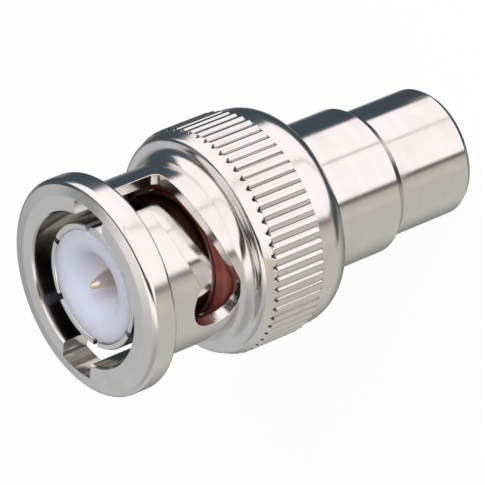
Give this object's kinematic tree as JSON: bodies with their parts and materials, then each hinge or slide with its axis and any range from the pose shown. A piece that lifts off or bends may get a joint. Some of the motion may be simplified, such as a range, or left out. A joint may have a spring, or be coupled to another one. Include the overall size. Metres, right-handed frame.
{
  "type": "bayonet to phono coaxial adapter",
  "caption": "Coaxial adapter with a bayonet plug at one end and a phono socket at the other; its knurled coupling sleeve turns freely and slides forward against a wave washer.",
  "frame": {"origin": "centre of the socket end's face, on which the adapter stands", "axes": "+Z along the adapter's axis from the socket end to the bayonet mouth; -Y is the side that the picture looks at"},
  "size_m": [0.0144, 0.0144, 0.0276],
  "materials": {
    "nickel_plate": "bright nickel plate over turned brass",
    "spring_steel": "plain spring steel",
    "silicone": "satin red-brown silicone",
    "insulator": "smooth satin off-white",
    "contact_brass": "thin pale gold plate"
  },
  "bodies": {
    "body": {"plug_body": "nickel_plate", "phono_barrel": "nickel_plate", "front_insulator": "insulator", "centre_pin": "contact_brass", "rear_insulator": "insulator", "phono_socket": "contact_brass", "gasket": "silicone", "wave_washer": "spring_steel"},
    "washer": {"thrust_washer": "spring_steel"},
    "sleeve": {"coupling_sleeve": "nickel_plate"}
  },
  "joints": [
    {"name": "sleeve_slide", "type": "slide", "parent": "body", "child": "washer", "axis": [0, 0, 1], "range_m": [0, 0.001], "stiffness_N_per_m": 1500, "springref_m": -0.0005, "deforming": ["wave_washer"]},
    {"name": "sleeve_turn", "type": "hinge", "parent": "washer", "child": "sleeve", "pos_m": [0, 0, 0.0199], "axis": [0, 0, 1], "continuous": true}
  ]
}
